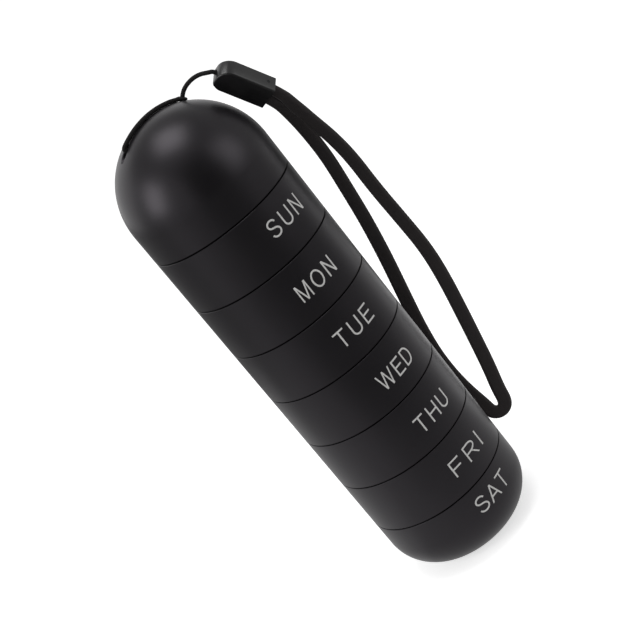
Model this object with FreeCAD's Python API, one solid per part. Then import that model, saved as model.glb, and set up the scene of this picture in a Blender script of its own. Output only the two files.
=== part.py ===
import FreeCAD, Part
from collections import namedtuple
import math
import os

# A weekly pill case: seven short cups that screw into one another and a domed cap with a wrist strap.
# Millimetres. The axis is +Z, the origin is the middle of the foot, and the day marks face -Y.

Vector = FreeCAD.Vector
up = Vector(0, 0, 1)
origin = Vector(0, 0, 0)
Step = namedtuple("Step", "start bend ahead centre axis turn radius")

# Stack, from the foot up
days = ["sat", "fri", "thu", "wed", "tue", "mon", "sun"]
outer_radius = 20.0
section_pitch = 15.0
base_height = 19.2
base_corner = 11.6
wall = 4.0
floor_thickness = 1.2
floor_fillet = 2.0
base_floor = 4.0
seam_gap = 0.05
seam_chamfer = 0.2
edge_break = 0.3

# Screwed joint: neck below, skirt above
neck_wall = 1.5
neck_height = 5.6
skirt_headroom = 0.4
thread_lead = 2.0
thread_turns = 1.25
thread_start = 2.0
thread_height = 0.65
thread_base = 1.2
thread_crest = 0.6
thread_sink = 0.2
thread_clearance = 0.2

# Seal ring in the groove at the foot of each neck
ring_section = 1.1
ring_play = 0.1
ring_clearance = 0.05
groove_depth = 0.5

# Cap
cap_straight = 8.0
ceiling_height = 12.0
channel_polar = 31.0
channel_radius = 1.0
channel_edge = 0.3
cap_turn = -3.0

# Thin looped cord, which ties the clip to the cap
cord_diameter = 1.0
cord_bore_clearance = 0.15
cord_bore_depth = 2.5
cord_lead = 0.5
eye_radius = 0.9
eye_section = 0.55
eye_step = 14

# Clip between the thin cord and the strap
clip_roll = 59.0
clip_width = 6.8
clip_thickness = 4.5
clip_taper = 2.3
clip_shoulder_taper = 0.75
clip_shoulder_cut = 1.1
clip_high_cut = 2.5
clip_low_taper = 1.8
clip_low_cut = 1.1
clip_fillet = 0.4
cord_bore_side = -0.6
cord_bore_back = 0.5
pin_radius = 0.4
pin_inset = 1.9
pin_clearance = 0.03
pin_recess = 0.05

# Woven strap: a flat band whose two ends are pinned in the clip
strap_width = 3.1
strap_thickness = 1.4
strap_corner = 0.5
strap_hold = 2.9
strap_lead = 2.4
strand_gap = 0.1
slot_clearance = 0.05

# A cord's arc takes this share of the shorter run on each side of its point
arc_share = 0.45

cavity_radius = outer_radius - wall
neck_radius = cavity_radius + neck_wall
skirt_radius = neck_radius + thread_height + thread_clearance
skirt_depth = neck_height + skirt_headroom
groove_radius = neck_radius - groove_depth
groove_height = ring_section + 2 * ring_play
seams = [base_height + section_pitch * count for count in range(len(days))]
cap_seam = seams[-1]
dome_centre = cap_seam + cap_straight
channel_height = dome_centre + outer_radius * math.cos(math.radians(channel_polar))

# The lanyard's places, in outer radii from the centre of the dome. X runs along the channel, towards the
# clip, and turns with the cap; Z is up.
clip_front_place = (0.923, -0.333, 0.907)
clip_rear_place = (1.259, -0.397, 0.311)
cord_route = [
    (0.474, -0.003, 0.93),
    (0.386, -0.02, 0.956),
    (0.214, -0.025, 1.009),
    (0.036, -0.025, 1.031),
    (-0.144, -0.02, 1.021),
    (-0.31, -0.015, 0.984),
    (-0.449, 0, 0.93),
    (-0.457, 0, 0.899),
    (-0.437, 0, 0.874),
    (-0.29, 0.005, 0.874),
    (-0.04, -0.005, 0.85),
    (0.2, 0.005, 0.862),
    (0.37, 0, 0.855),
    (0.465, 0, 0.857),
    (0.505, 0, 0.884),
    (0.548, -0.015, 0.931),
    (0.59, -0.038, 0.965),
    (0.65, -0.076, 0.992),
    (0.727, -0.13, 1.006),
    (0.8, -0.195, 0.995),
    (0.862, -0.262, 0.957),
]
strap_route = [
    (1.39, -0.453, -0.025),
    (1.46, -0.437, -0.3),
    (1.536, -0.434, -0.59),
    (1.596, -0.42, -0.96),
    (1.619, -0.386, -1.46),
    (1.668, -0.356, -2.01),
    (1.704, -0.333, -2.535),
    (1.679, -0.286, -3.01),
    (1.613, -0.234, -3.525),
    (1.546, -0.186, -4),
    (1.478, -0.155, -4.41),
    (1.406, -0.133, -4.72),
    (1.374, -0.126, -4.96),
    (1.272, -0.076, -5.025),
    (1.175, -0.017, -4.96),
    (1.162, 0.014, -4.78),
    (1.128, 0.065, -4.53),
    (1.105, 0.101, -4.21),
    (1.108, 0.11, -3.835),
    (1.153, 0.088, -3.41),
    (1.236, 0.04, -2.91),
    (1.322, -0.031, -2.36),
    (1.378, -0.122, -1.785),
    (1.397, -0.199, -1.26),
    (1.406, -0.272, -0.785),
    (1.38, -0.31, -0.41),
    (1.342, -0.328, -0.1),
]


def unit(vector):
    return Vector(vector).normalize()


def placed(point):
    """A place given in outer radii from the centre of the dome, in millimetres."""
    return Vector(*point) * outer_radius + up * dome_centre


def turned(profile):
    """A solid of revolution. Each step of the profile is a corner (r, z) or an arc (mid r, mid z, r, z)."""
    corner = Vector(profile[0][0], 0, profile[0][1])
    edges = []
    for step in profile[1:] + profile[:1]:
        end = Vector(step[-2], 0, step[-1])
        if len(step) == 4:
            middle = Vector(step[0], 0, step[1])
            edges.append(Part.Arc(corner, middle, end).toShape())
        else:
            edges.append(Part.LineSegment(corner, end).toShape())
        corner = end
    face = Part.Face(Part.Wire(edges))
    return face.revolve(origin, up, 360)


def arc_to(centre_r, centre_z, radius, start, end):
    """An arc step for turned(), between two angles in degrees above the horizontal."""
    middle = math.radians((start + end) / 2)
    last = math.radians(end)
    return (
        centre_r + radius * math.cos(middle),
        centre_z + radius * math.sin(middle),
        centre_r + radius * math.cos(last),
        centre_z + radius * math.sin(last),
    )


def skirt_profile(seam, top):
    """From the underside at the axis, down inside the skirt and out to the wall above the seam."""
    return [
        (0, top),
        (skirt_radius, top),
        (skirt_radius, seam + edge_break),
        (skirt_radius + edge_break, seam),
        (outer_radius - seam_chamfer, seam),
        (outer_radius, seam + seam_chamfer),
    ]


def neck_profile(seam):
    """From the wall below the seam, over the shoulder and the seal groove, up and over the neck."""
    shoulder = seam - seam_gap
    groove_top = shoulder + groove_height
    neck_top = seam + neck_height
    return [
        (outer_radius, shoulder - seam_chamfer),
        (outer_radius - seam_chamfer, shoulder),
        (groove_radius, shoulder),
        (groove_radius, groove_top),
        (neck_radius, groove_top),
        (neck_radius, neck_top - edge_break),
        (neck_radius - edge_break, neck_top),
        (cavity_radius + edge_break, neck_top),
        (cavity_radius, neck_top - edge_break),
    ]


def thread_ridge(seam, root_radius, outward, phase):
    """One helical ridge; outward is 1 on a neck and -1 in a skirt."""
    root = root_radius - outward * thread_sink
    crest = root_radius + outward * thread_height
    start = seam + thread_start
    corners = [
        Vector(root, 0, start - thread_base / 2),
        Vector(crest, 0, start - thread_crest / 2),
        Vector(crest, 0, start + thread_crest / 2),
        Vector(root, 0, start + thread_base / 2),
    ]
    section = Part.makePolygon(corners + corners[:1])
    helix = Part.makeHelix(thread_lead, thread_lead * thread_turns, root_radius)
    helix.translate(Vector(0, 0, start))
    ridge = Part.Wire(helix.Edges).makePipeShell([section], True, True)
    ridge.rotate(origin, up, phase)
    return ridge


def neck_thread(seam):
    return thread_ridge(seam, neck_radius, 1, 0)


def skirt_thread(seam):
    """Half a turn on from the neck's ridge, so that the two ridges lie half a pitch apart."""
    return thread_ridge(seam, skirt_radius, -1, 180)


def middle_cup(bottom, seam):
    ceiling = bottom + skirt_depth
    floor = ceiling + floor_thickness
    inside = [
        (cavity_radius, floor + floor_fillet),
        arc_to(cavity_radius - floor_fillet, floor + floor_fillet, floor_fillet, 0, -90),
        (0, floor),
    ]
    blank = turned(skirt_profile(bottom, ceiling) + neck_profile(seam) + inside)
    return blank.fuse([neck_thread(seam), skirt_thread(bottom)])


def base_cup(seam):
    foot_radius = outer_radius - base_corner
    inner_corner = base_corner - wall
    outside = [
        (0, 0),
        (foot_radius, 0),
        arc_to(foot_radius, base_corner, base_corner, -90, 0),
    ]
    inside = [
        (cavity_radius, base_floor + inner_corner),
        arc_to(cavity_radius - inner_corner, base_floor + inner_corner, inner_corner, 0, -90),
        (0, base_floor),
    ]
    blank = turned(outside + neck_profile(seam) + inside)
    return blank.fuse(neck_thread(seam))


def seal_ring(seam):
    radius = ring_section / 2
    centre = Vector(0, 0, seam - seam_gap + ring_play + radius)
    return Part.makeTorus(groove_radius + ring_clearance + radius, radius, centre, up)


def dome_cap():
    ceiling = cap_seam + skirt_depth
    roof_angle = math.degrees(math.asin(ceiling_height / cavity_radius))
    roof = dome_centre + ceiling_height
    roof_radius = math.sqrt(cavity_radius**2 - ceiling_height**2)
    profile = [
        (0, roof),
        (roof_radius, roof),
        arc_to(0, dome_centre, cavity_radius, roof_angle, 0),
        (cavity_radius, ceiling),
    ]
    profile += skirt_profile(cap_seam, ceiling)[1:]
    profile += [
        (outer_radius, dome_centre),
        arc_to(0, dome_centre, outer_radius, 0, 90),
    ]
    cap = turned(profile).fuse(skirt_thread(cap_seam))
    length = 2 * outer_radius
    start = Vector(-outer_radius, 0, channel_height)
    cap = cap.cut(Part.makeCylinder(channel_radius, length, start, Vector(1, 0, 0)))
    mouths = [edge for edge in cap.Edges if is_channel_mouth(edge)]
    return turn_with_cap(cap.makeFillet(channel_edge, mouths))


def is_channel_mouth(edge):
    """The rims where the channel breaks through the dome are small curves at the channel's height."""
    box = edge.BoundBox
    level = abs(box.Center.z - channel_height) < channel_radius
    small = max(box.XLength, box.YLength) < 4 * channel_radius
    return level and small and box.XLength > channel_edge


def turn_with_cap(shape):
    shape.rotate(origin, up, cap_turn)
    return shape


def route_steps(points):
    """The straight runs of a cord, each with the tangent arc that joins it to the next."""
    steps = []
    place = points[0]
    for before, corner, after in zip(points, points[1:], points[2:]):
        ahead = unit(corner - before)
        onward = unit(after - corner)
        turn = ahead.getAngle(onward)
        setback = arc_share * min((corner - before).Length, (after - corner).Length)
        radius = setback / math.tan(turn / 2)
        axis = unit(ahead.cross(onward))
        bend = corner - ahead * setback
        centre = bend + axis.cross(ahead) * radius
        steps.append(Step(place, bend, ahead, centre, axis, math.degrees(turn), radius))
        place = corner + onward * setback
    steps.append(Step(place, points[-1], unit(points[-1] - points[-2]), None, None, 0, 0))
    return steps


def sides_along(steps, side, last_side):
    """The width direction at the start and end of each run. It follows the bends, and the twist left over is
    shared among the runs between the first and the last, which are held. A band looks the same after half a
    turn, so the twist is the least that fits."""
    carried = side
    for step in steps[:-1]:
        carried = FreeCAD.Rotation(step.axis, step.turn).multVec(carried)
    sine = steps[-1].ahead.dot(carried.cross(last_side))
    twist = math.degrees(math.atan(sine / carried.dot(last_side)))
    free_run = sum((step.bend - step.start).Length for step in steps[1:-1])
    sides = []
    for step in steps:
        held = step in (steps[0], steps[-1])
        share = 0 if held else twist * (step.bend - step.start).Length / free_run
        bend_side = FreeCAD.Rotation(step.ahead, share).multVec(side)
        sides.append((side, bend_side))
        if step.centre:
            side = FreeCAD.Rotation(step.axis, step.turn).multVec(bend_side)
    return sides


def swept(section, steps, sides):
    """Lofts a section along each run and revolves it round each arc."""
    pieces = []
    for step, (side, bend_side) in zip(steps, sides):
        first = section(step.start, step.ahead, side)
        last = section(step.bend, step.ahead, bend_side)
        pieces.append(Part.makeLoft([first.OuterWire, last.OuterWire], True, True))
        if step.centre:
            pieces.append(last.revolve(step.centre, step.axis, step.turn))
    return pieces[0].fuse(pieces[1:])


def report_cord(name, solid, area, steps):
    """Prints a cord's length, its radii and how its volume compares with section times length."""
    length = sum((step.bend - step.start).Length + step.radius * math.radians(step.turn) for step in steps)
    radii = ", ".join(f"{step.radius:.1f}" for step in steps[:-1])
    print(f"{name}: {length:.1f} mm long, volume ratio {solid.Volume / area / length:.4f}, radii {radii}")


def cord_section(start, ahead, side):
    return Part.Face(Part.Wire(Part.makeCircle(cord_diameter / 2, start, ahead)))


def band_section(start, ahead, side, margin=0.0):
    """A flat rectangle with rounded corners, its width along side."""
    width = strap_width / 2 + margin
    height = strap_thickness / 2 + margin
    block = Part.makeBox(2 * width, 2 * height, 1, Vector(-width, -height, 0))
    upright = [edge for edge in block.Edges if abs(edge.tangentAt(edge.FirstParameter).z) > 0.5]
    faces = block.makeFillet(strap_corner, upright).Faces
    foot = [face for face in faces if face.CenterOfMass.z < 1e-6][0]
    foot.Placement = frame_placement(start, side, ahead)
    return foot


def frame_placement(place, x_axis, z_axis):
    """Puts a shape drawn at the origin at a place, its X and Z axes along the two given."""
    y_axis = z_axis.cross(x_axis)
    matrix = FreeCAD.Matrix(
        x_axis.x, y_axis.x, z_axis.x, place.x,
        x_axis.y, y_axis.y, z_axis.y, place.y,
        x_axis.z, y_axis.z, z_axis.z, place.z,
        0, 0, 0, 1,
    )
    return FreeCAD.Placement(matrix)


def clip_axes():
    """Along the clip, across its width and through its thickness."""
    along = unit(clip_rear - clip_front)
    level = unit(along.cross(Vector(0, 1, 0)))
    across = FreeCAD.Rotation(along, clip_roll).multVec(level)
    through = along.cross(across)
    return along, across, through


clip_front = placed(clip_front_place)
clip_rear = placed(clip_rear_place)
along, across, through = clip_axes()
clip_length = (clip_rear - clip_front).Length
strand_offset = (strap_width + strand_gap) / 2
cord_mouth = clip_front + across * cord_bore_side - through * cord_bore_back


def cord_steps():
    """Over the dome from the eye, through the channel, up through the eye and into the clip."""
    points = [placed(point) for point in cord_route]
    points.append(cord_mouth - along * cord_lead)
    points.append(cord_mouth + along * cord_bore_depth)
    return route_steps(points)


def strap_steps():
    """Out of the clip, down to the fold and back into the clip beside the start."""
    anchor = clip_rear - along * strap_hold
    exit_point = clip_rear + along * strap_lead
    beside = across * strand_offset
    points = [anchor + beside, exit_point + beside]
    points += [placed(point) for point in strap_route]
    points += [exit_point - beside, anchor - beside]
    return route_steps(points)


def lanyard_cord():
    steps = cord_steps()
    cord = swept(cord_section, steps, sides_along(steps, across, across))
    report_cord("lanyard_cord", cord, math.pi * (cord_diameter / 2) ** 2, steps)
    return turn_with_cap(cord)


def cord_eye():
    """The bight of the cord, a small ring round the strands where they leave the dome."""
    low = placed(cord_route[eye_step])
    high = placed(cord_route[eye_step + 1])
    return turn_with_cap(Part.makeTorus(eye_radius, eye_section / 2, (low + high) / 2, high - low))


def pin_bore(radius, inset):
    """A cylinder across the clip, shortened by the inset at each end."""
    middle = clip_rear - along * pin_inset
    start = middle - across * (clip_width / 2 - inset)
    return Part.makeCylinder(radius, clip_width - 2 * inset, start, across)


def wrist_strap():
    steps = strap_steps()
    strap = swept(band_section, steps, sides_along(steps, across, across))
    area = band_section(steps[0].start, steps[0].ahead, across).Area
    report_cord("wrist_strap", strap, area, steps)
    strap = strap.cut(pin_bore(pin_radius + pin_clearance, 0))
    return turn_with_cap(strap)


def clip_body():
    half = clip_width / 2
    outline = [
        Vector(0, clip_low_cut - half, 0),
        Vector(clip_low_taper, -half, 0),
        Vector(clip_length, -half, 0),
        Vector(clip_length, half, 0),
        Vector(clip_taper, half, 0),
        Vector(clip_shoulder_taper, half - clip_shoulder_cut, 0),
        Vector(0, half - clip_high_cut, 0),
    ]
    plate = Part.Face(Part.makePolygon(outline + outline[:1]))
    plate.translate(Vector(0, 0, -clip_thickness / 2))
    clip = plate.extrude(Vector(0, 0, clip_thickness))
    clip = clip.makeFillet(clip_fillet, clip.Edges)
    clip.Placement = frame_placement(clip_front, along, through)
    clip = clip.cut(pin_bore(pin_radius + pin_clearance, 0))
    bore_radius = cord_diameter / 2 + cord_bore_clearance
    mouth = cord_mouth - along * clip_fillet
    clip = clip.cut(Part.makeCylinder(bore_radius, clip_fillet + cord_bore_depth, mouth, along))
    steps = strap_steps()
    for place in (steps[0].start, steps[-1].bend):
        slot = band_section(place, along, across, slot_clearance)
        clip = clip.cut(slot.extrude(along * (strap_hold + clip_fillet)))
    return turn_with_cap(clip)


def clip_pin():
    return turn_with_cap(pin_bore(pin_radius, pin_recess))


def write(node, shape):
    if not shape.isValid():
        print(f"{node} is not a valid shape")
    print(f"{node}: {len(shape.Solids)} solid, {shape.Volume:.1f} mm3")
    shape.exportStep(f"parts/{node}.step")


os.makedirs("parts", exist_ok=True)
write("cup_" + days[0], base_cup(seams[0]))
for day, bottom, top in zip(days[1:], seams, seams[1:]):
    write("cup_" + day, middle_cup(bottom, top))
for day, seam in zip(days, seams):
    write("seal_" + day, seal_ring(seam))
write("dome_cap", dome_cap())
write("lanyard_cord", lanyard_cord())
write("cord_eye", cord_eye())
write("clip_body", clip_body())
write("clip_pin", clip_pin())
write("wrist_strap", wrist_strap())
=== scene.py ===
from math import atan, cos, pi, radians, sin

import bmesh
import bpy
from mathutils import Matrix, Quaternion, Vector


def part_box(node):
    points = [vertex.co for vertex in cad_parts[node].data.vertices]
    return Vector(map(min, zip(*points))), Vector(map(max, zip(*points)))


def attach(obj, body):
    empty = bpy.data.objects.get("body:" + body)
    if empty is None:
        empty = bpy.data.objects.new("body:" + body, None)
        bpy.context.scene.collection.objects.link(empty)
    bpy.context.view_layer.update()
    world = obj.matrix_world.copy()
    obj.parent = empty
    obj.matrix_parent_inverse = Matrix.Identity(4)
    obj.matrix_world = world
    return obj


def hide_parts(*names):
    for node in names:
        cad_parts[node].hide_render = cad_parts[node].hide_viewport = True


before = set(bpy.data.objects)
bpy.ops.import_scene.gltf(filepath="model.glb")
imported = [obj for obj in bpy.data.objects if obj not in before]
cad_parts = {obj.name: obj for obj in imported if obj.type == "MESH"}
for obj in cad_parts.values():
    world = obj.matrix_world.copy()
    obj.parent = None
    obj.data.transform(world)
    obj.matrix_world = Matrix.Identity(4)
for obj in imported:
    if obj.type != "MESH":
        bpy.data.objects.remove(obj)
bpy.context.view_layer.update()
print("loaded", len(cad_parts), "nodes")

mm = 0.001
caseRadius = round(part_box("cup_wed")[1].x, 4)
domeCentre = Vector((0, 0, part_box("dome_cap")[1].z - caseRadius))
lanyardAngle = -3  # degrees from the day marks' left-right line
capTurn = Matrix.Rotation(radians(lanyardAngle), 4, "Z")

days = ["SAT", "FRI", "THU", "WED", "TUE", "MON", "SUN"]
pitch = 15 * mm
lowestSeam = 19.2 * mm
seamHeights = {day: lowestSeam + pitch * count for count, day in enumerate(days)}


# Camera: a long lens, rolled so that the case lies across the picture
cameraSetup = {
    "place": (-142.4, -319.9, 197.2),  # mm
    "turn": (65.235, 36.288, -39.586),  # degrees
    "lens": 84.58,  # mm, on a 36 mm sensor
    "clipStart": 10,  # mm
}


def addCamera(setup):
    bpy.ops.object.camera_add(
        location=[value * mm for value in setup["place"]],
        rotation=[radians(value) for value in setup["turn"]],
    )
    camera = bpy.context.object
    camera.data.lens = setup["lens"]
    camera.data.clip_start = setup["clipStart"] * mm
    bpy.context.scene.camera = camera


addCamera(cameraSetup)
print("camera set")


# Shader helpers
def newMaterial(name, shaderValues):
    material = bpy.data.materials.new(name)
    material.use_nodes = True
    shader = material.node_tree.nodes["Principled BSDF"]
    for socket, value in shaderValues.items():
        shader.inputs[socket].default_value = value
    return material, material.node_tree, shader


def addNode(tree, kind, inputs=None, **settings):
    node = tree.nodes.new(kind)
    for setting, value in settings.items():
        setattr(node, setting, value)
    for socket, value in (inputs or {}).items():
        if isinstance(value, bpy.types.NodeSocket):
            tree.links.new(value, node.inputs[socket])
        else:
            node.inputs[socket].default_value = value
    return node


def addRamp(tree, factor, stops):
    ramp = addNode(tree, "ShaderNodeValToRGB", {"Fac": factor})
    elements = ramp.color_ramp.elements
    while len(elements) < len(stops):
        elements.new(0.5)
    for element, (position, level) in zip(elements, stops):
        element.position = position
        element.color = (*level, 1) if isinstance(level, tuple) else (level, level, level, 1)
    return ramp.outputs["Color"]


def addMath(tree, operation, *values):
    return addNode(tree, "ShaderNodeMath", dict(enumerate(values)), operation=operation).outputs["Value"]


def addNoise(tree, place, scale, detail=2.0):
    noise = addNode(tree, "ShaderNodeTexNoise", {"Vector": place, "Scale": scale, "Detail": detail})
    return noise.outputs["Fac"]


def addColour(tree, shader, factor, stops):
    tree.links.new(addRamp(tree, factor, stops), shader.inputs["Base Color"])


def addRoughness(tree, shader, factor, span):
    rough = addNode(tree, "ShaderNodeMapRange", {"Value": factor, "To Min": span[0], "To Max": span[1]})
    tree.links.new(rough.outputs["Result"], shader.inputs["Roughness"])


def addBump(tree, shader, height, distance):
    bump = addNode(tree, "ShaderNodeBump", {"Height": height, "Distance": distance, "Strength": 1.0})
    tree.links.new(bump.outputs["Normal"], shader.inputs["Normal"])


# Finishes
anodisedFinish = {
    "colour": ((0.0057, 0.0053, 0.006), (0.0082, 0.0075, 0.0085)),
    "sheen": (1.0, 0.93, 1.02, 1),
    "roughness": (0.33, 0.4),
    "blastGrain": 9000,  # bead-blasted surface, per metre
    "cloud": 45,
    "bump": 0.000004,
    "groove": {"middle": 0.04, "reach": 0.2, "shade": 0.95},  # mm, and the share of colour and reflection taken off as painted seam shade
}


def addPaintedSeamShade(tree, place, groove):  # painted shade: less than 1 in a band at each seam height, which lies in shadow, and 1 elsewhere
    height = addNode(tree, "ShaderNodeSeparateXYZ", {"Vector": place}).outputs["Z"]
    above = addMath(tree, "SUBTRACT", height, lowestSeam + groove["middle"] * mm)
    away = addMath(tree, "PINGPONG", above, pitch / 2)
    near = addMath(tree, "LESS_THAN", away, groove["reach"] * mm)
    middle = (seamHeights["SAT"] + seamHeights["SUN"]) / 2
    among = addMath(tree, "COMPARE", height, middle, seamHeights["SUN"] - middle + 1 * mm)
    shade = addMath(tree, "MULTIPLY", addMath(tree, "MULTIPLY", near, among), groove["shade"])
    return addMath(tree, "SUBTRACT", 1.0, shade)


def makeAnodised(setup):
    values = {"Metallic": 0.0, "IOR": 1.5, "Specular Tint": setup["sheen"]}
    material, tree, shader = newMaterial("anodisedBlack", values)
    place = addNode(tree, "ShaderNodeTexCoord").outputs["Object"]
    cloud = addNoise(tree, place, setup["cloud"], 3.0)
    colour = addRamp(tree, cloud, [(0.35, setup["colour"][0]), (0.7, setup["colour"][1])])
    # Painted shade: base colour and reflection are scaled down in a band at each seam height, standing in
    # for the seams' shadow
    plain = addPaintedSeamShade(tree, place, setup["groove"])
    tinted = addNode(tree, "ShaderNodeVectorMath", {0: colour, "Scale": plain}, operation="SCALE")
    tree.links.new(tinted.outputs["Vector"], shader.inputs["Base Color"])
    tree.links.new(addMath(tree, "MULTIPLY", plain, 0.5), shader.inputs["Specular IOR Level"])
    addRoughness(tree, shader, cloud, setup["roughness"])
    addBump(tree, shader, addNoise(tree, place, setup["blastGrain"]), setup["bump"])
    return material


markFinish = {"colour": ((0.52, 0.515, 0.505), (0.68, 0.675, 0.665)), "roughness": 0.6, "grain": 2500}


def makeLaserMark(setup):
    material, tree, shader = newMaterial("laserMark", {"Roughness": setup["roughness"]})
    place = addNode(tree, "ShaderNodeTexCoord").outputs["Object"]
    grain = addNoise(tree, place, setup["grain"], 3.0)
    addColour(tree, shader, grain, [(0.3, setup["colour"][0]), (0.7, setup["colour"][1])])
    return material


siliconeFinish = {"colour": (0.012, 0.012, 0.013), "roughness": (0.5, 0.65), "grain": 1200}


def makeSilicone(setup):
    material, tree, shader = newMaterial("silicone", {"Base Color": (*setup["colour"], 1)})
    place = addNode(tree, "ShaderNodeTexCoord").outputs["Object"]
    addRoughness(tree, shader, addNoise(tree, place, setup["grain"]), setup["roughness"])
    return material


clipFinish = {
    "colour": ((0.006, 0.006, 0.0065), (0.011, 0.0105, 0.0105)),
    "roughness": (0.28, 0.42),
    "patch": 180,
    "grain": 2200,
    "bump": 0.00001,
}


def makeClipPlastic(setup):
    material, tree, shader = newMaterial("clipPlastic", {"IOR": 1.5, "Specular IOR Level": 0.8})
    place = addNode(tree, "ShaderNodeTexCoord").outputs["Object"]
    patch = addNoise(tree, place, setup["patch"])
    addColour(tree, shader, patch, [(0.3, setup["colour"][0]), (0.7, setup["colour"][1])])
    addRoughness(tree, shader, patch, setup["roughness"])
    addBump(tree, shader, addNoise(tree, place, setup["grain"], 4.0), setup["bump"])
    return material


pinFinish = {"colour": (0.05, 0.05, 0.052), "roughness": 0.35, "scratch": 3000, "bump": 0.000003}


def makePinSteel(setup):
    values = {"Base Color": (*setup["colour"], 1), "Metallic": 1.0, "Roughness": setup["roughness"]}
    material, tree, shader = newMaterial("darkSteel", values)
    place = addNode(tree, "ShaderNodeTexCoord").outputs["Object"]
    addBump(tree, shader, addNoise(tree, place, setup["scratch"]), setup["bump"])
    return material


# A woven or twisted yarn: its pattern follows the piece's own UV map, in millimetres round and along
strapFinish = {
    "colour": ((0.017, 0.0143, 0.0147), (0.056, 0.048, 0.048)),
    "roughness": 0.82,
    "sheen": 0.2,
    "yarn": (0.62, 0.4),  # mm across, mm along
    "fibres": 6,  # to a yarn
    "bump": 0.00004,
}
cordFinish = {
    "colour": ((0.0046, 0.0043, 0.0043), (0.017, 0.0155, 0.015)),
    "roughness": 0.7,
    "sheen": 0.1,
    "yarn": (0.25, 0.5),
    "fibres": 6,
    "bump": 0.00002,
}


def makeYarn(name, setup):
    values = {
        "Roughness": setup["roughness"],
        "Sheen Weight": setup["sheen"],
        "Sheen Roughness": 0.4,
        "Specular IOR Level": 0.25,
    }
    material, tree, shader = newMaterial(name, values)
    across, along = setup["yarn"]
    pattern = addNode(tree, "ShaderNodeUVMap", uv_map="yarn").outputs["UV"]
    scaled = addNode(tree, "ShaderNodeMapping", {"Vector": pattern, "Scale": (1 / across, 1 / along, 1)})
    place = scaled.outputs["Vector"]
    weave = addNode(
        tree,
        "ShaderNodeTexWave",
        {"Vector": place, "Scale": 1.0, "Distortion": 1.2, "Detail": 2.0, "Detail Scale": 2.0},
        wave_type="BANDS",
        bands_direction="DIAGONAL",
    )
    mixed = addMath(tree, "MULTIPLY", weave.outputs["Fac"], addNoise(tree, place, setup["fibres"], 4.0))
    addColour(tree, shader, mixed, [(0.1, setup["colour"][0]), (0.6, setup["colour"][1])])
    addBump(tree, shader, mixed, setup["bump"])
    return material


anodised = makeAnodised(anodisedFinish)
laserMark = makeLaserMark(markFinish)
silicone = makeSilicone(siliconeFinish)
clipPlastic = makeClipPlastic(clipFinish)
pinSteel = makePinSteel(pinFinish)
strapYarn = makeYarn("wovenPolyester", strapFinish)
cordYarn = makeYarn("twistedNylon", cordFinish)
print("finishes made")


# Lanyard: places in outer radii from the centre of the dome, X along the channel towards the clip
clipPlaces = {"front": (0.923, -0.333, 0.907), "rear": (1.259, -0.397, 0.311), "roll": 59}
cordRoute = [
    (0.474, -0.003, 0.93),
    (0.386, -0.02, 0.956),
    (0.214, -0.025, 1.009),
    (0.036, -0.025, 1.031),
    (-0.144, -0.02, 1.021),
    (-0.31, -0.015, 0.984),
    (-0.449, 0, 0.93),
    (-0.457, 0, 0.899),
    (-0.437, 0, 0.874),
    (-0.29, 0.005, 0.874),
    (-0.04, -0.005, 0.85),
    (0.2, 0.005, 0.862),
    (0.37, 0, 0.855),
    (0.465, 0, 0.857),
    (0.505, 0, 0.884),
    (0.548, -0.015, 0.931),
    (0.59, -0.038, 0.965),
    (0.65, -0.076, 0.992),
    (0.727, -0.13, 1.006),
    (0.8, -0.195, 0.995),
    (0.862, -0.262, 0.957),
]
strapRoute = [
    (1.39, -0.453, -0.025),
    (1.46, -0.437, -0.3),
    (1.536, -0.434, -0.59),
    (1.596, -0.42, -0.96),
    (1.619, -0.386, -1.46),
    (1.668, -0.356, -2.01),
    (1.704, -0.333, -2.535),
    (1.679, -0.286, -3.01),
    (1.613, -0.234, -3.525),
    (1.546, -0.186, -4),
    (1.478, -0.155, -4.41),
    (1.406, -0.133, -4.72),
    (1.374, -0.126, -4.96),
    (1.272, -0.076, -5.025),
    (1.175, -0.017, -4.96),
    (1.162, 0.014, -4.78),
    (1.128, 0.065, -4.53),
    (1.105, 0.101, -4.21),
    (1.108, 0.11, -3.835),
    (1.153, 0.088, -3.41),
    (1.236, 0.04, -2.91),
    (1.322, -0.031, -2.36),
    (1.378, -0.122, -1.785),
    (1.397, -0.199, -1.26),
    (1.406, -0.272, -0.785),
    (1.38, -0.31, -0.41),
    (1.342, -0.328, -0.1),
]


def lanyardPlace(point):
    return domeCentre + capTurn @ (Vector(point) * caseRadius)


clipFront = lanyardPlace(clipPlaces["front"])
clipRear = lanyardPlace(clipPlaces["rear"])
clipAlong = (clipRear - clipFront).normalized()
clipLevel = clipAlong.cross(capTurn @ Vector((0, 1, 0))).normalized()
clipAcross = Quaternion(clipAlong, radians(clipPlaces["roll"])) @ clipLevel
clipThrough = clipAlong.cross(clipAcross)


def readLine(name, points, fineness):  # the smooth line of a route, read off its spline
    curve = bpy.data.curves.new(name, "CURVE")
    curve.dimensions = "3D"
    spline = curve.splines.new("NURBS")
    spline.points.add(len(points) - 1)
    for controlPoint, place in zip(spline.points, points):
        controlPoint.co = (*place, 1)
    spline.order_u = 3
    spline.use_endpoint_u = True
    spline.resolution_u = fineness
    holder = bpy.data.objects.new(name, curve)
    mesh = bpy.data.meshes.new_from_object(holder)
    line = [vertex.co.copy() for vertex in mesh.vertices]
    bpy.data.objects.remove(holder)
    bpy.data.meshes.remove(mesh)
    bpy.data.curves.remove(curve)
    return line


def lineTangents(line, closed=False):
    before = line[-1:] + line[:-1] if closed else line[:1] + line[:-1]
    after = line[1:] + line[:1] if closed else line[1:] + line[-1:]
    return [(end - start).normalized() for start, end in zip(before, after)]


def lineDistances(line):
    distances = [0.0]
    for start, end in zip(line, line[1:]):
        distances.append(distances[-1] + (end - start).length)
    return distances


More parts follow.
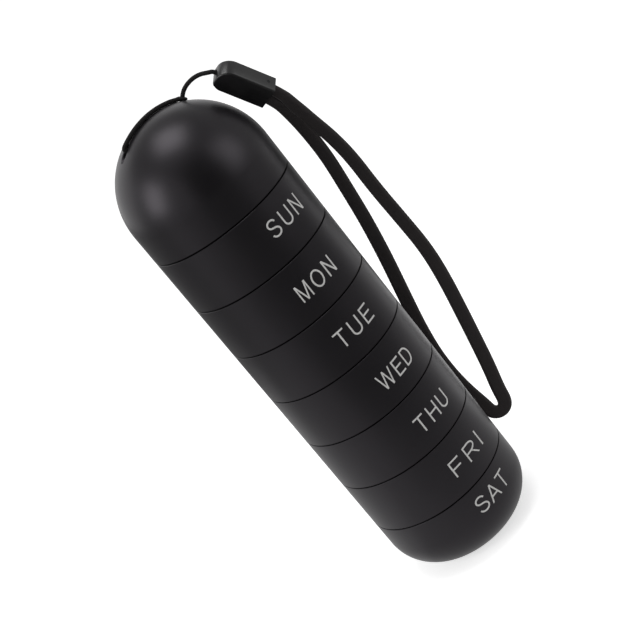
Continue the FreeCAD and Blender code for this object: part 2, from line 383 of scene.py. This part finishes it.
def carrySides(line, firstSide):  # width directions that follow the line's bends without twisting
    tangents = lineTangents(line)
    sides = [(firstSide - tangents[0] * firstSide.dot(tangents[0])).normalized()]
    for before, after in zip(tangents, tangents[1:]):
        sides.append(before.rotation_difference(after) @ sides[-1])
    return sides


def twistSides(line, sides, lastSide, held):  # shares the twist that is left between the held ends
    tangents = lineTangents(line)
    distances = lineDistances(line)
    sine = tangents[-1].dot(sides[-1].cross(lastSide))
    twist = atan(sine / sides[-1].dot(lastSide))
    span = distances[-1] - 2 * held
    twisted = []
    for tangent, side, distance in zip(tangents, sides, distances):
        share = min(max((distance - held) / span, 0), 1)
        twisted.append(Quaternion(tangent, twist * share) @ side)
    return twisted


# A sweep is one section carried along a line. Sections are lists of (across, through) in metres.
def sweepData(line, sides, sectionAt, closed=False):
    tangents = lineTangents(line, closed)
    distances = lineDistances(line)
    vertices, rings, faces, patterns = [], [], [], []
    for place, tangent, side, distance in zip(line, tangents, sides, distances):
        through = tangent.cross(side)
        section = sectionAt(distance)
        rings.append(range(len(vertices), len(vertices) + len(section)))
        vertices += [place + side * across + through * height for across, height in section]
    around = lineDistances([Vector((*corner, 0)) for corner in section + section[:1]])
    pairs = list(zip(rings, rings[1:], distances, distances[1:]))
    if closed:
        lap = distances[-1] + (line[0] - line[-1]).length
        pairs.append((rings[-1], rings[0], distances[-1], lap))
    for ring, following, near, far in pairs:
        for corner in range(len(section)):
            nextCorner = (corner + 1) % len(section)
            faces.append((ring[corner], ring[nextCorner], following[nextCorner], following[corner]))
            left, right = around[corner], around[corner + 1]
            patterns.append([(left, near), (right, near), (right, far), (left, far)])
    if not closed:
        for ring in (tuple(reversed(rings[0])), tuple(rings[-1])):
            faces.append(ring)
            patterns.append([(0, 0)] * len(ring))
    return vertices, faces, patterns


def addSweeps(name, sweeps, material):
    vertices, faces, patterns = [], [], []
    for sweepVertices, sweepFaces, sweepPatterns in sweeps:
        start = len(vertices)
        vertices += sweepVertices
        faces += [tuple(start + corner for corner in face) for face in sweepFaces]
        patterns += sweepPatterns
    mesh = bpy.data.meshes.new(name)
    mesh.from_pydata(vertices, [], faces)
    uvMap = mesh.uv_layers.new(name="yarn")
    flatPattern = [value / mm for face in patterns for corner in face for value in corner]
    uvMap.data.foreach_set("uv", flatPattern)
    mesh.shade_smooth()
    piece = bpy.data.objects.new(name, mesh)
    bpy.context.collection.objects.link(piece)
    mesh.materials.append(material)
    return piece


def fixNormals(piece):
    shell = bmesh.new()
    shell.from_mesh(piece.data)
    bmesh.ops.recalc_face_normals(shell, faces=shell.faces)
    shell.to_mesh(piece.data)
    shell.free()


def easeIn(share):  # from 0 to 1 without a corner
    share = max(0, min(1, share))
    return share * share * (3 - 2 * share)


# Thin cord: a round braid, from its own eye over the dome, through the channel and into the clip
thinCord = {
    "radius": 0.57,  # mm
    "relief": 0.04,
    "carriers": 4,
    "braid": 3.2,  # mm along for one turn of a yarn
    "sideOfBore": -0.6,
    "backOfBore": 0.5,
    "lead": 0.5,
    "boreDepth": 2.5,
    "press": 0.27,  # how far the end at the eye is drawn down to the dome
    "pressed": 3.0,  # over this length
    "sectionPoints": 32,
    "fineness": 24,
}


def braidSection(setup, distance):  # yarns that cross each other leave small diamonds on the cord
    section = []
    turn = 2 * pi * distance / (setup["braid"] * mm)
    for step in range(setup["sectionPoints"]):
        angle = 2 * pi * step / setup["sectionPoints"]
        weave = cos(setup["carriers"] * (angle + turn)) * cos(setup["carriers"] * (angle - turn))
        reach = (setup["radius"] - setup["relief"] * (0.5 - 0.5 * weave)) * mm
        section.append((reach * cos(angle), reach * sin(angle)))
    return section


def pressEnd(line, setup):  # the last few millimetres at the eye lie closer to the dome
    pressed = []
    for point, distance in zip(line, lineDistances(line)):
        share = 1 - easeIn(distance / (setup["pressed"] * mm))
        pressed.append(point + (domeCentre - point).normalized() * share * setup["press"] * mm)
    return pressed


def addThinCord(setup):
    mouth = clipFront + clipAcross * setup["sideOfBore"] * mm - clipThrough * setup["backOfBore"] * mm
    points = [lanyardPlace(point) for point in cordRoute]
    points += [mouth - clipAlong * setup["lead"] * mm, mouth + clipAlong * setup["boreDepth"] * mm]
    line = pressEnd(readLine("thinCordRoute", points, setup["fineness"]), setup)
    sides = carrySides(line, clipAcross)
    sweep = sweepData(line, sides, lambda distance: braidSection(setup, distance))
    cord = addSweeps("thinCord", [sweep], cordYarn)
    fixNormals(cord)
    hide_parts("lanyard_cord")
    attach(cord, "cap")
    return cord, line


def roundSection(radius, count):
    angles = [2 * pi * step / count for step in range(count)]
    return [(radius * cos(angle), radius * sin(angle)) for angle in angles]


# Eye: the bight round the cord where it leaves the channel, between two points of its route
cordEye = {
    "radius": 0.88,  # mm
    "strand": 0.36,
    "between": (14, 15),
    "rise": 0.15,  # share of the way from one point to the other
    "points": 48,
    "sectionPoints": 16,
}


def addCordEye(setup):
    low, high = (lanyardPlace(cordRoute[count]) for count in setup["between"])
    axis = (high - low).normalized()
    start = axis.cross(clipAcross).normalized() * setup["radius"] * mm
    turns = [Quaternion(axis, 2 * pi * step / setup["points"]) for step in range(setup["points"])]
    line = [low.lerp(high, setup["rise"]) + turn @ start for turn in turns]
    sides = [(turn @ start).normalized() for turn in turns]
    section = roundSection(setup["strand"] * mm, setup["sectionPoints"])
    sweep = sweepData(line, sides, lambda distance: section, closed=True)
    eye = addSweeps("cordEye", [sweep], cordYarn)
    fixNormals(eye)
    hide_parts("cord_eye")
    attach(eye, "cap")
    return eye


# Wrist strap: one flat woven band, folded at the bottom, its ends side by side in the clip
wristStrap = {
    "width": 3.1,  # mm, squeezed in the clip
    "relaxed": 3.8,
    "relaxing": 9.0,  # from the clip to its full width
    "parting": 45.0,  # over which the two strands push each other apart
    "thickness": 1.4,
    "hold": 2.9,
    "lead": 2.4,
    "gap": 0.1,
    "held": 5.0,
    "squeezed": 3.9,  # length at each end that keeps the clip's width
    "ribs": 5,
    "ribSteps": 4,
    "ribHeight": 0.035,
    "pick": 0.4,  # along the strap from one weft yarn to the next
    "fineness": 36,
}


def addWristStrap(setup):
    beside = clipAcross * (setup["width"] + setup["gap"]) / 2 * mm
    anchor = clipRear - clipAlong * setup["hold"] * mm
    leaving = clipRear + clipAlong * setup["lead"] * mm
    points = [anchor + beside, leaving + beside]
    points += [lanyardPlace(point) for point in strapRoute]
    points += [leaving - beside, anchor - beside]
    line = readLine("wristStrapRoute", points, setup["fineness"])
    sides = twistSides(line, carrySides(line, clipAcross), clipAcross, setup["held"] * mm)
    flat = (setup["width"] - setup["thickness"]) / 2 * mm  # half of it, between the rounded edges
    edge = (setup["thickness"] / 2 - setup["ribHeight"]) * mm
    steps = setup["ribs"] * setup["ribSteps"]
    face = [flat * (1 - 2 * step / steps) for step in range(steps + 1)]
    outline = [((across, edge), (0, 1)) for across in face]
    outline += [((-flat, 0), (-sin(angle), cos(angle))) for angle in (pi / 4, pi / 2, 3 * pi / 4)]
    outline += [((across, -edge), (0, -1)) for across in reversed(face)]
    outline += [((flat, 0), (sin(angle), cos(angle))) for angle in (3 * pi / 4, pi / 2, pi / 4)]

    length = lineDistances(line)[-1]
    extra = (setup["relaxed"] - setup["width"]) / 2 * mm

    def wovenSection(distance):
        weft = cos(2 * pi * distance / (setup["pick"] * mm))
        free = min(distance, length - distance) - setup["squeezed"] * mm
        wider = extra * easeIn(free / (setup["relaxing"] * mm))
        apart = wider * easeIn(1 - free / (setup["parting"] * mm)) * (1 if distance < length / 2 else -1)
        section = []
        for (across, through), (outAcross, outThrough) in outline:
            reach = edge if through == 0 else 0
            warp = cos(2 * pi * setup["ribs"] * across / (2 * flat)) if through else 1
            swell = reach + setup["ribHeight"] * mm * (0.5 + 0.5 * warp * weft)
            spread = across * (1 + wider / flat) + apart
            section.append((spread + outAcross * swell, through + outThrough * swell))
        return section

    strap = addSweeps("wristStrap", [sweepData(line, sides, wovenSection)], strapYarn)
    fixNormals(strap)
    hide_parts("wrist_strap")
    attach(strap, "cap")
    return strap, line


# Clip between the cord and the strap: a moulded block with a narrowed nose and an open rear
clipBlock = {
    "width": 6.8,  # mm
    "thickness": 4.5,
    "nose": 2.3,
    "shoulder": (0.75, 1.1),
    "highCut": 2.5,
    "lowNose": 1.8,
    "lowCut": 1.1,
    "edge": 0.4,
    "noseEdge": 0.7,
    "shoulderEdge": 1.1,
    "rim": 0.15,
    "pocketWidth": 6.35,
    "pocketThickness": 1.6,
    "pocketDepth": 4.0,
    "bore": 0.65,
    "pinBore": 0.43,
    "pinInset": 1.9,
    "closeBy": 0.1,  # how near a corner counts as on a face
    "crease": 35,  # degrees
}


def selectEdges(block, chosen):  # edges on a flat face are left out
    bpy.ops.mesh.select_mode(type="EDGE")
    bpy.ops.mesh.select_all(action="DESELECT")
    shell = bmesh.from_edit_mesh(block.data)
    shell.normal_update()
    for edge in shell.edges:
        edge.select = edge.calc_face_angle(0) > radians(15) and chosen(edge.verts[0].co, edge.verts[1].co)
    bmesh.update_edit_mesh(block.data)


def selectFaces(block, chosen):
    bpy.ops.mesh.select_all(action="DESELECT")
    bpy.ops.mesh.select_mode(type="FACE")
    shell = bmesh.from_edit_mesh(block.data)
    shell.normal_update()
    for face in shell.faces:
        face.select = chosen(face)
    bmesh.update_edit_mesh(block.data)


def cutAway(block, tool):
    bpy.context.view_layer.objects.active = block
    cut = block.modifiers.new("cut", "BOOLEAN")
    cut.object = tool
    cut.operation = "DIFFERENCE"
    cut.solver = "EXACT"
    bpy.ops.object.modifier_apply(modifier="cut")
    bpy.data.objects.remove(tool)


def drillBore(block, radius, depth, place, turn):
    bpy.ops.mesh.primitive_cylinder_add(
        radius=radius, depth=depth, vertices=24, location=place, rotation=turn
    )
    cutAway(block, bpy.context.object)


def addClipBlock(setup):
    length = (clipRear - clipFront).length
    width, thickness, nose = (setup[key] * mm for key in ("width", "thickness", "nose"))
    closeBy = setup["closeBy"] * mm
    rear = length - closeBy

    def upright(start, end):
        return abs(start.z - end.z) > thickness / 2

    bpy.ops.object.select_all(action="DESELECT")
    bpy.ops.mesh.primitive_cube_add(
        size=1, location=((length + nose) / 2, 0, 0), scale=(length - nose, width, thickness)
    )
    bpy.ops.object.transform_apply(location=True, rotation=False, scale=True)
    block = bpy.context.object
    block.name = "clipBlock"
    bpy.ops.object.mode_set(mode="EDIT")
    selectFaces(block, lambda face: face.normal.x < -0.5)
    bpy.ops.mesh.extrude_region_move(TRANSFORM_OT_translate={"value": (-nose, 0, 0)})
    shell = bmesh.from_edit_mesh(block.data)
    for vertex in shell.verts:
        if vertex.select:
            vertex.co.y += (setup["lowCut"] if vertex.co.y < 0 else -setup["highCut"]) * mm
        elif vertex.co.x < length / 2 and vertex.co.y < 0:
            vertex.co.x = setup["lowNose"] * mm
    bmesh.update_edit_mesh(block.data)
    selectFaces(block, lambda face: face.normal.x < -0.2 and face.normal.y > 0.2)
    bpy.ops.mesh.select_mode(type="EDGE")
    slant = [edge for edge in bmesh.from_edit_mesh(block.data).edges if edge.select]
    bpy.ops.mesh.select_all(action="DESELECT")
    for edge in slant:
        edge.select = abs(edge.verts[0].co.x - edge.verts[1].co.x) > nose / 2
    bpy.ops.mesh.subdivide(number_cuts=1)
    shell = bmesh.from_edit_mesh(block.data)
    for vertex in shell.verts:
        if closeBy < vertex.co.x < nose - closeBy and vertex.co.y > 0:
            vertex.co.x = setup["shoulder"][0] * mm
            vertex.co.y = width / 2 - setup["shoulder"][1] * mm
    bmesh.update_edit_mesh(block.data)
    selectEdges(block, lambda a, b: upright(a, b) and nose - closeBy < a.x < rear and a.y > 0)
    bpy.ops.mesh.bevel(offset=setup["shoulderEdge"] * mm, segments=6, affect="EDGES")
    selectEdges(block, lambda a, b: upright(a, b) and a.x < rear)
    bpy.ops.mesh.bevel(offset=setup["noseEdge"] * mm, segments=5, affect="EDGES")
    selectEdges(block, lambda a, b: not upright(a, b) and min(a.x, b.x) < rear)
    bpy.ops.mesh.bevel(offset=setup["edge"] * mm, segments=4, affect="EDGES")
    selectFaces(block, lambda face: face.normal.x > 0.9)
    bpy.ops.mesh.inset(thickness=setup["rim"] * mm)
    side, face = setup["pocketWidth"] / 2 * mm, setup["pocketThickness"] / 2 * mm
    shell = bmesh.from_edit_mesh(block.data)
    for vertex in shell.verts:
        if vertex.select:
            vertex.co.y = max(min(vertex.co.y, side), -side)
            vertex.co.z = max(min(vertex.co.z, face), -face)
    bmesh.update_edit_mesh(block.data)
    bpy.ops.mesh.extrude_region_move(TRANSFORM_OT_translate={"value": (-setup["pocketDepth"] * mm, 0, 0)})
    bpy.ops.object.mode_set(mode="OBJECT")
    mouth = (0, thinCord["sideOfBore"] * mm, -thinCord["backOfBore"] * mm)
    drillBore(block, setup["bore"] * mm, 2 * thinCord["boreDepth"] * mm, mouth, (0, pi / 2, 0))
    pinPlace = (length - setup["pinInset"] * mm, 0, 0)
    drillBore(block, setup["pinBore"] * mm, 2 * width, pinPlace, (pi / 2, 0, 0))
    turn = Matrix((clipAlong, clipAcross, clipThrough)).transposed().to_4x4()
    block.data.transform(Matrix.Translation(clipFront) @ turn)
    block.data.materials.clear()
    block.data.materials.append(clipPlastic)
    block.data.shade_smooth()
    block.data.set_sharp_from_angle(angle=radians(setup["crease"]))
    fixNormals(block)
    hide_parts("clip_body")
    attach(block, "cap")
    return block


cord, cordLine = addThinCord(thinCord)
eye = addCordEye(cordEye)
strap, strapLine = addWristStrap(wristStrap)
clip = addClipBlock(clipBlock)
print("lanyard made")


# CAD pieces keep their shape and get their finish
def finishNode(name, material):
    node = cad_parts[name]
    node.data.materials.clear()
    node.data.materials.append(material)


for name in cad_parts:
    if name.startswith("cup_") or name == "dome_cap":
        finishNode(name, anodised)
    elif name.startswith("seal_"):
        finishNode(name, silicone)
finishNode("clip_pin", pinSteel)
print("case finished")


# Day marks, engraved by laser: plain letters of one stroke, every word spaced out to the same width.
# Azimuth in degrees, drop in mm below the seam, and stretch as a share of each letter's own width.
dayMarks = {
    "SUN": {"azimuth": 9.2, "drop": 6.57, "stretch": 0.95},
    "MON": {"azimuth": -2.25, "drop": 7.57, "stretch": 0.89},
    "TUE": {"azimuth": -2.25, "drop": 7.68, "stretch": 0.95},
    "WED": {"azimuth": 2.3, "drop": 7.93, "stretch": 0.86},
    "THU": {"azimuth": 3.8, "drop": 7.94, "stretch": 0.97},
    "FRI": {"azimuth": 4.1, "drop": 7.9, "stretch": 1.06},
    "SAT": {"azimuth": 1.5, "drop": 5.25, "stretch": 1.06},
}
markShape = {  # mm
    "word": 12.1,
    "height": 4.5,
    "stroke": 0.44,
    "slender": {"M": 0.8, "W": 0.82},  # share of the stroke where the lines lie close
    "depth": 0.02,
    "facet": 0.5,  # length of the flat steps that a plate is bent in
    "widths": {
        "A": 3.65,
        "D": 3.55,
        "E": 3.15,
        "F": 3.3,
        "H": 3.3,
        "I": 0.48,
        "M": 3.65,
        "N": 3.3,
        "O": 3.85,
        "R": 4.1,
        "S": 3.2,
        "T": 3.33,
        "U": 3.3,
        "W": 5.25,
    },
}


def ovalPoints(centre, reach, start, end, count=16):  # angles in degrees
    turns = [radians(start + (end - start) * step / count) for step in range(count + 1)]
    return [(centre[0] + reach[0] * cos(turn), centre[1] + reach[1] * sin(turn)) for turn in turns]


def strokeOutline(path, stroke):  # a line of even width, its corners mitred
    points = [Vector(point) for point in path]
    ways = [(after - before).normalized() for before, after in zip(points, points[1:])]
    sides = []
    for before, after in zip(ways[:1] + ways, ways + ways[-1:]):
        middle = (before + after).normalized()
        sides.append(Vector((-middle.y, middle.x)) * stroke / 2 / middle.dot(after))
    left = [point + side for point, side in zip(points, sides)]
    right = [point - side for point, side in zip(points, sides)]
    return [tuple(point) for point in left + right[::-1]]


def boxOutline(left, low, right, high):
    return [(left, low), (right, low), (right, high), (left, high)]


def letterA(w, h, s):
    foot, tip, bar = 1.07 * s, 1.15 * s, 0.28 * h
    lean = (w - tip) / 2 / h
    legs = [(0, 0), (foot, 0), (w / 2, (w / 2 - foot) / lean), (w - foot, 0), (w, 0)]
    legs += [((w + tip) / 2, h), ((w - tip) / 2, h)]
    low, high = foot + bar * lean, foot + (bar + s) * lean
    return [legs, [(low, bar), (w - low, bar), (w - high, bar + s), (high, bar + s)]]


def letterD(w, h, s):
    bend = 0.42 * w
    bowl = ovalPoints((bend, h / 2), (w - bend - s / 2, (h - s) / 2), 90, -90)
    return [boxOutline(0, 0, s, h), strokeOutline([(s, h - s / 2)] + bowl + [(s, s / 2)], s)]


def letterE(w, h, s):
    low, high, arm = 0.52 * h - s / 2, 0.52 * h + s / 2, 0.93 * w
    outline = [(0, 0), (w, 0), (w, s), (s, s), (s, low), (arm, low), (arm, high), (s, high)]
    return [outline + [(s, h - s), (w, h - s), (w, h), (0, h)]]


def letterF(w, h, s):
    low, high, arm = 0.49 * h - s / 2, 0.49 * h + s / 2, 0.88 * w
    outline = [(0, 0), (s, 0), (s, low), (arm, low), (arm, high), (s, high)]
    return [outline + [(s, h - s), (w, h - s), (w, h), (0, h)]]


def letterH(w, h, s):
    low, high = 0.52 * h - s / 2, 0.52 * h + s / 2
    outline = [(0, 0), (s, 0), (s, low), (w - s, low), (w - s, 0), (w, 0)]
    return [outline + [(w, h), (w - s, h), (w - s, high), (s, high), (s, h), (0, h)]]


def letterI(w, h, s):
    return [boxOutline(0, 0, w, h)]


def letterM(w, h, s):
    slant, top = 1.08 * s, 1.4 * s
    run = (w + slant) / 2 - top
    inner = h * (1 - (s + slant - top) / run)
    outline = [(0, 0), (s, 0), (s, inner), ((w - slant) / 2, 0), ((w + slant) / 2, 0), (w - s, inner)]
    outline += [(w - s, 0), (w, 0), (w, h), (w - top, h), (w / 2, h * slant / 2 / run), (top, h), (0, h)]
    return [outline]


def letterN(w, h, s):
    slant = 1.16 * s
    rise = h * s / (w - slant)
    outline = [(0, 0), (s, 0), (s, h - rise), (w - slant, 0), (w, 0)]
    return [outline + [(w, h), (w - s, h), (w - s, rise), (slant, h), (0, h)]]


def letterO(w, h, s):
    middle, reach = (w / 2, h / 2), ((w - s) / 2, (h - s) / 2 + 0.08 * s)
    return [strokeOutline(ovalPoints(middle, reach, start, start + 180), s) for start in (90, 270)]


def letterR(w, h, s):
    bend, waist, slant = 0.45 * w, 0.47 * h, 1.15 * s
    middle, reach = (bend, (h - s / 2 + waist) / 2), (0.95 * w - bend - s / 2, (h - s / 2 - waist) / 2)
    bowl = [(s, h - s / 2)] + ovalPoints(middle, reach, 90, -90) + [(s, waist)]
    hip = 0.5 * w
    leg = [(w - slant, 0), (w, 0), (hip + slant, waist - s / 2), (hip, waist - s / 2)]
    return [boxOutline(0, 0, s, h), strokeOutline(bowl, s), leg]


def letterS(w, h, s):
    upper, lower = 0.21 * h, 0.44 * h - 0.21 * h
    path = ovalPoints((w / 2, h - s / 2 - upper), (0.46 * w - s / 2, upper), 12, 245)
    path += ovalPoints((w / 2, s / 2 + lower), ((w - s) / 2, lower), 65, -168)
    return [strokeOutline(path, s)]


def letterT(w, h, s):
    left, right = (w - s) / 2, (w + s) / 2
    outline = [(left, 0), (right, 0), (right, h - s), (w, h - s)]
    return [outline + [(w, h), (0, h), (0, h - s), (left, h - s)]]


def letterU(w, h, s):
    bend = 0.45 * w
    bowl = ovalPoints((w / 2, bend), ((w - s) / 2, bend - s / 2), 180, 360)
    return [strokeOutline([(s / 2, h)] + bowl + [(w - s / 2, h)], s)]


def letterW(w, h, s):
    slant = 1.04 * s
    run = (w - slant) / 4
    dip = h * slant / 2 / run
    left = [(0, h), (run, 0), (run + slant, 0), (w / 2, h - dip)]
    right = [(w - run - slant, 0), (w - run, 0), (w, h), (w - slant, h), (w - run - slant / 2, dip)]
    top = [((w + slant) / 2, h), ((w - slant) / 2, h), (run + slant / 2, dip), (slant, h)]
    return [left + right + top]


letters = {
    "A": letterA,
    "D": letterD,
    "E": letterE,
    "F": letterF,
    "H": letterH,
    "I": letterI,
    "M": letterM,
    "N": letterN,
    "O": letterO,
    "R": letterR,
    "S": letterS,
    "T": letterT,
    "U": letterU,
    "W": letterW,
}


def addPlate(shell, outline, left, shape):  # a thin closed plate with the letter's outline
    low, high = [], []
    for across, up in outline:
        place = ((left + across) * mm, (up - shape["height"] / 2) * mm)
        low.append(shell.verts.new((*place, -shape["depth"] * mm)))
        high.append(shell.verts.new((*place, shape["depth"] * mm)))
    shell.faces.new(high)
    shell.faces.new(low[::-1])
    for step in range(len(outline)):
        shell.faces.new((low[step - 1], low[step], high[step], high[step - 1]))


def addDayMark(word, place, shape):
    widths = [shape["widths"][letter] * place["stretch"] for letter in word]
    gap = (shape["word"] - sum(widths)) / (len(word) - 1)
    shell = bmesh.new()
    left = -shape["word"] / 2
    for letter, width in zip(word, widths):
        stroke = shape["stroke"] * shape["slender"].get(letter, 1.0)
        for outline in letters[letter](width, shape["height"], stroke):
            addPlate(shell, outline, left, shape)
        left += width + gap
    cuts = int(shape["word"] / shape["facet"])
    for count in range(1, cuts):
        cutPlace = (count / cuts - 0.5) * shape["word"] * mm
        everything = shell.verts[:] + shell.edges[:] + shell.faces[:]
        bmesh.ops.bisect_plane(shell, geom=everything, plane_co=(cutPlace, 0, 0), plane_no=(1, 0, 0))
    middle = seamHeights[word] - place["drop"] * mm
    for vertex in shell.verts:  # wrapped round the cup
        angle = vertex.co.x / caseRadius + radians(place["azimuth"])
        reach = caseRadius + vertex.co.z
        vertex.co = (reach * sin(angle), -reach * cos(angle), middle + vertex.co.y)
    mesh = bpy.data.meshes.new("mark_" + word.lower())
    shell.to_mesh(mesh)
    shell.free()
    mark = bpy.data.objects.new(mesh.name, mesh)
    bpy.context.collection.objects.link(mark)
    mark.data.materials.append(laserMark)
    fixNormals(mark)
    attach(mark, word.lower() + "_section")


for word, place in dayMarks.items():
    addDayMark(word, place, markShape)
print("day marks made")


# Floor, lamps, and cards that lie and stand round the case
studio = {  # places and sizes in metres, power in watts
    "floor": {"size": 30, "colour": 0.9, "glow": 0.6},
    "world": 0.45,
    "aim": (0, 0, 0.09),
    "lamps": {
        "top": {"place": (0.05, -0.04, 0.85), "size": (0.42, 0.42), "power": 1.8},
        "left": {"place": (-0.66, 0.03, 0.4), "size": (0.3, 0.42), "power": 1.3},
        "right": {"place": (0.5, -0.5, 0.3), "size": (0.35, 0.35), "power": 0.36},
    },
    "cards": {  # seen in reflections alone
        "front": {"place": (-0.12, -0.6, 0.4), "turn": (90, 0, -13), "size": (0.75, 0.8), "level": 0.0},
        "low": {"place": (0.0, -0.34, 0.002), "turn": (0, 0, 0), "size": (0.8, 0.5), "level": 0.13},
        "near": {"place": (0.01, -0.067, 0.0025), "turn": (0, 0, 0), "size": (0.2, 0.05), "level": 0.42},
        "foot": {"place": (0, -0.05, 0.0012), "turn": (0, 0, 0), "size": (0.28, 0.1), "level": 0.55},
        "behind": {"place": (0, 0.085, 0.0012), "turn": (0, 0, 0), "size": (0.28, 0.17), "level": 0.7},
        "lowLeft": {"place": (-0.56, -0.335, 0.0015), "turn": (0, 0, 0), "size": (0.84, 0.83), "level": 0.4},
        "backLeft": {"place": (-0.555, 0.515, 0.002), "turn": (0, 0, 0), "size": (0.85, 0.87), "level": 0.2},
        "back": {"place": (-0.05, 0.56, 0.0015), "turn": (0, 0, 0), "size": (0.16, 0.78), "level": 0.25},
        "lowRight": {"place": (0.53, -0.375, 0.0015), "turn": (0, 0, 0), "size": (0.8, 0.75), "level": 0.38},
        "backRight": {"place": (0.49, 0.5, 0.002), "turn": (0, 0, 0), "size": (0.88, 0.9), "level": 0.36},
        "glow": {"place": (0.175, 0.098, 0.0025), "turn": (0, 0, 28), "size": (0.28, 0.13), "level": 1.1},
        "left": {"place": (-0.95, 0, 0.45), "turn": (90, 0, 90), "size": (1.7, 1.0), "level": 0.42},
        "right": {"place": (0.95, 0, 0.45), "turn": (90, 0, 90), "size": (1.7, 1.0), "level": 0.38},
        "top": {"place": (0, 0, 1.0), "turn": (0, 0, 0), "size": (1.9, 1.9), "level": 0.27},
    },
}


def seenDirectly(tree):  # 1 to the camera, in a reflection or through a clear piece, and 0 in other light
    rays = addNode(tree, "ShaderNodeLightPath").outputs
    seen = addMath(tree, "ADD", rays["Is Camera Ray"], rays["Is Glossy Ray"])
    inputs = {0: seen, 1: rays["Is Transmission Ray"]}
    return addNode(tree, "ShaderNodeMath", inputs, operation="ADD", use_clamp=True).outputs["Value"]


def addFloor(setup):
    bpy.ops.object.select_all(action="DESELECT")
    bpy.ops.mesh.primitive_plane_add(size=setup["size"])
    floor = bpy.context.object
    floor.name = "floor"
    colour = (setup["colour"], setup["colour"], setup["colour"], 1)
    values = {"Base Color": colour, "Roughness": 0.9, "Emission Color": (1, 1, 1, 1)}
    material, tree, shader = newMaterial("paleFloor", values)
    glow = addMath(tree, "MULTIPLY", seenDirectly(tree), setup["glow"])
    tree.links.new(glow, shader.inputs["Emission Strength"])
    floor.data.materials.append(material)


def addLamp(name, lamp, target):
    bpy.ops.object.light_add(type="AREA", location=lamp["place"])
    light = bpy.context.object
    light.name = name + "Lamp"
    light.data.shape = "RECTANGLE"
    light.data.size, light.data.size_y = lamp["size"]
    light.data.energy = lamp["power"]
    aim = Vector(target) - Vector(lamp["place"])
    light.rotation_euler = aim.to_track_quat("-Z", "Y").to_euler()


def setWorld(strength):
    world = bpy.data.worlds.new("studio")
    bpy.context.scene.world = world
    world.use_nodes = True
    tree = world.node_tree
    background = tree.nodes["Background"]
    background.inputs["Color"].default_value = (1, 1, 1, 1)
    inputs = {"Value": seenDirectly(tree), "To Min": strength, "To Max": 1.0}
    level = addNode(tree, "ShaderNodeMapRange", inputs)
    tree.links.new(level.outputs["Result"], background.inputs["Strength"])


def addCard(name, card):
    bpy.ops.object.select_all(action="DESELECT")
    bpy.ops.mesh.primitive_plane_add(
        size=1, location=card["place"], rotation=[radians(value) for value in card["turn"]]
    )
    piece = bpy.context.object
    piece.name = name + "Card"
    piece.scale = (*card["size"], 1)
    values = {
        "Base Color": (0, 0, 0, 1),
        "Specular IOR Level": 0,
        "Emission Color": (card["level"], card["level"], card["level"], 1),
        "Emission Strength": 1,
    }
    piece.data.materials.append(newMaterial(name + "Card", values)[0])
    piece.visible_camera = False
    piece.visible_diffuse = False
    piece.visible_shadow = False
    piece.visible_transmission = False


addFloor(studio["floor"])
for name, lamp in studio["lamps"].items():
    addLamp(name, lamp, studio["aim"])
for name, card in studio["cards"].items():
    addCard(name, card)
setWorld(studio["world"])
bpy.context.scene.view_settings.view_transform = "Standard"
print("studio set")
